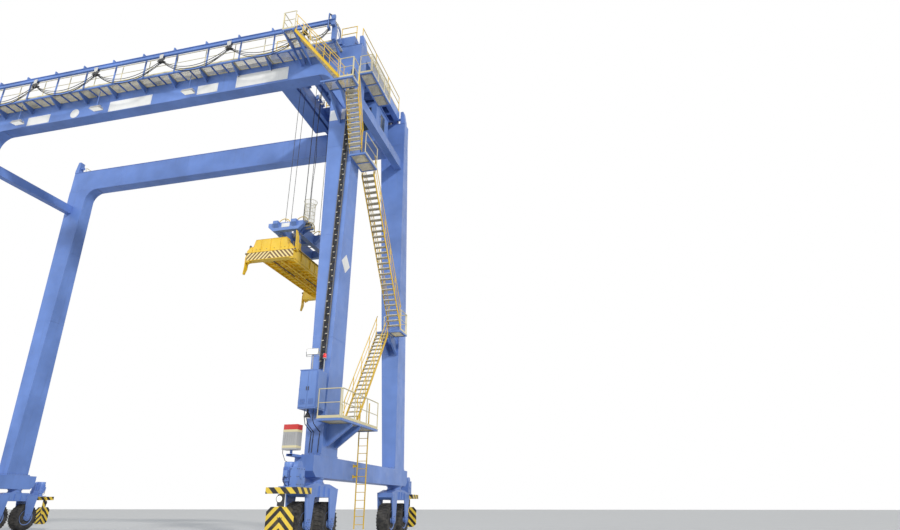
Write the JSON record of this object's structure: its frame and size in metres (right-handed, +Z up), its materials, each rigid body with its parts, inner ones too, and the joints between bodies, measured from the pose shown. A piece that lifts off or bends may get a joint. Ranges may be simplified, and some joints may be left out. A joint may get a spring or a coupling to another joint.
{
  "type": "rubber tyred gantry crane",
  "caption": "Rubber tyred gantry crane: portal on wheeled bogies, with a travelling trolley, rope hoist and telescopic container spreader.",
  "frame": {"origin": "on the ground under the middle of the whole crane, stairs included", "axes": "+X along the girders towards the stair end, +Y across towards the far portal side, +Z up"},
  "size_m": [25.7, 13.6, 25.57],
  "materials": {
    "frame_blue": "semi gloss",
    "grating_grey": "galvanised",
    "stair_yellow": "semi gloss",
    "spreader_yellow": "semi gloss",
    "tyre_black": "matt",
    "railing_cream": "semi gloss",
    "lamp_red": "gloss",
    "cab_window": "clear",
    "rope_steel": "greased"
  },
  "bodies": {
    "portal": {"near_girder": "frame_blue", "far_girder": "frame_blue", "leg_near_right": "frame_blue", "leg_far_right": "frame_blue", "leg_near_left": "frame_blue", "leg_far_left": "frame_blue", "sill_right": "frame_blue", "sill_left": "frame_blue", "leg_ties": "frame_blue", "bogie_near_right": "frame_blue", "bogie_far_right": "frame_blue", "bogie_near_left": "frame_blue", "bogie_far_left": "frame_blue", "drive_units": "frame_blue", "festoon_rail": "frame_blue", "landings": "frame_blue", "cabinet": "frame_blue", "near_walkway": "grating_grey", "far_walkway": "grating_grey", "cable_ladder": "grating_grey", "signal_box": "grating_grey", "near_railing": "railing_cream", "far_railing": "railing_cream", "landing_railings": "railing_cream", "upper_flight": "stair_yellow", "flight_1": "stair_yellow", "flight_2": "stair_yellow", "flight_3": "stair_yellow", "stair_handrails": "stair_yellow", "access_ladder": "stair_yellow", "bumper_bars": "stair_yellow", "chevron_boards": "stair_yellow", "leg_lamps": "lamp_red"},
    "trolley": {"trolley_frame": "frame_blue", "trolley_wheels": "grating_grey", "trolley_machinery": "grating_grey", "machinery_guard": "stair_yellow", "trolley_house": "railing_cream", "trolley_railings": "stair_yellow", "cab": "frame_blue", "cab_glass": "cab_window", "hoist_ropes": "rope_steel"},
    "hoisted": {"headblock": "frame_blue", "sheave_guards": "stair_yellow", "spreader_frame": "spreader_yellow"},
    "end_near": {"spreader_end_near": "spreader_yellow"},
    "end_far": {"spreader_end_far": "spreader_yellow"},
    "wheel_1_body": {"wheel_1": "tyre_black"},
    "wheel_2_body": {"wheel_2": "tyre_black"},
    "wheel_3_body": {"wheel_3": "tyre_black"},
    "wheel_4_body": {"wheel_4": "tyre_black"},
    "wheel_5_body": {"wheel_5": "tyre_black"},
    "wheel_6_body": {"wheel_6": "tyre_black"},
    "wheel_7_body": {"wheel_7": "tyre_black"},
    "wheel_8_body": {"wheel_8": "tyre_black"},
    "flipper_near_left_body": {"flipper_near_left": "spreader_yellow"},
    "flipper_near_right_body": {"flipper_near_right": "spreader_yellow"},
    "flipper_far_left_body": {"flipper_far_left": "spreader_yellow"},
    "flipper_far_right_body": {"flipper_far_right": "spreader_yellow"}
  },
  "joints": [
    {"name": "trolley_travel", "type": "slide", "parent": "portal", "child": "trolley", "axis": [1, 0, 0], "range_m": [-16.4, 0]},
    {"name": "hoist", "type": "slide", "parent": "trolley", "child": "hoisted", "axis": [0, 0, 1], "range_m": [-11.4, 4.8], "deforming": ["hoist_ropes"]},
    {"name": "telescope_far", "type": "slide", "parent": "hoisted", "child": "end_far", "axis": [0, 1, 0], "range_m": [0, 3.06]},
    {"name": "telescope_near", "type": "slide", "parent": "hoisted", "child": "end_near", "axis": [0, -1, 0], "range_m": [0, 3.06]},
    {"name": "flipper_near_left_pivot", "type": "hinge", "parent": "end_near", "child": "flipper_near_left_body", "pos_m": [6.27, -2.88, 12.45], "axis": [0, 1, 0], "range_deg": [0, 180]},
    {"name": "flipper_near_right_pivot", "type": "hinge", "parent": "end_near", "child": "flipper_near_right_body", "pos_m": [8.83, -2.88, 12.45], "axis": [0, 1, 0], "range_deg": [0, 180]},
    {"name": "flipper_far_left_pivot", "type": "hinge", "parent": "end_far", "child": "flipper_far_left_body", "pos_m": [6.27, 2.88, 12.45], "axis": [0, 1, 0], "range_deg": [0, 180]},
    {"name": "flipper_far_right_pivot", "type": "hinge", "parent": "end_far", "child": "flipper_far_right_body", "pos_m": [8.83, 2.88, 12.45], "axis": [0, 1, 0], "range_deg": [0, 180]},
    {"name": "wheel_1_spin", "type": "hinge", "parent": "portal", "child": "wheel_1_body", "pos_m": [11.47, -5.45, 0.75], "axis": [1, 0, 0], "continuous": true},
    {"name": "wheel_2_spin", "type": "hinge", "parent": "portal", "child": "wheel_2_body", "pos_m": [11.47, -3.55, 0.75], "axis": [1, 0, 0], "continuous": true},
    {"name": "wheel_3_spin", "type": "hinge", "parent": "portal", "child": "wheel_3_body", "pos_m": [11.47, 3.55, 0.75], "axis": [1, 0, 0], "continuous": true},
    {"name": "wheel_4_spin", "type": "hinge", "parent": "portal", "child": "wheel_4_body", "pos_m": [11.47, 5.45, 0.75], "axis": [1, 0, 0], "continuous": true},
    {"name": "wheel_5_spin", "type": "hinge", "parent": "portal", "child": "wheel_5_body", "pos_m": [-12.27, -5.45, 0.75], "axis": [1, 0, 0], "continuous": true},
    {"name": "wheel_6_spin", "type": "hinge", "parent": "portal", "child": "wheel_6_body", "pos_m": [-12.27, -3.55, 0.75], "axis": [1, 0, 0], "continuous": true},
    {"name": "wheel_7_spin", "type": "hinge", "parent": "portal", "child": "wheel_7_body", "pos_m": [-12.27, 3.55, 0.75], "axis": [1, 0, 0], "continuous": true},
    {"name": "wheel_8_spin", "type": "hinge", "parent": "portal", "child": "wheel_8_body", "pos_m": [-12.27, 5.45, 0.75], "axis": [1, 0, 0], "continuous": true}
  ]
}
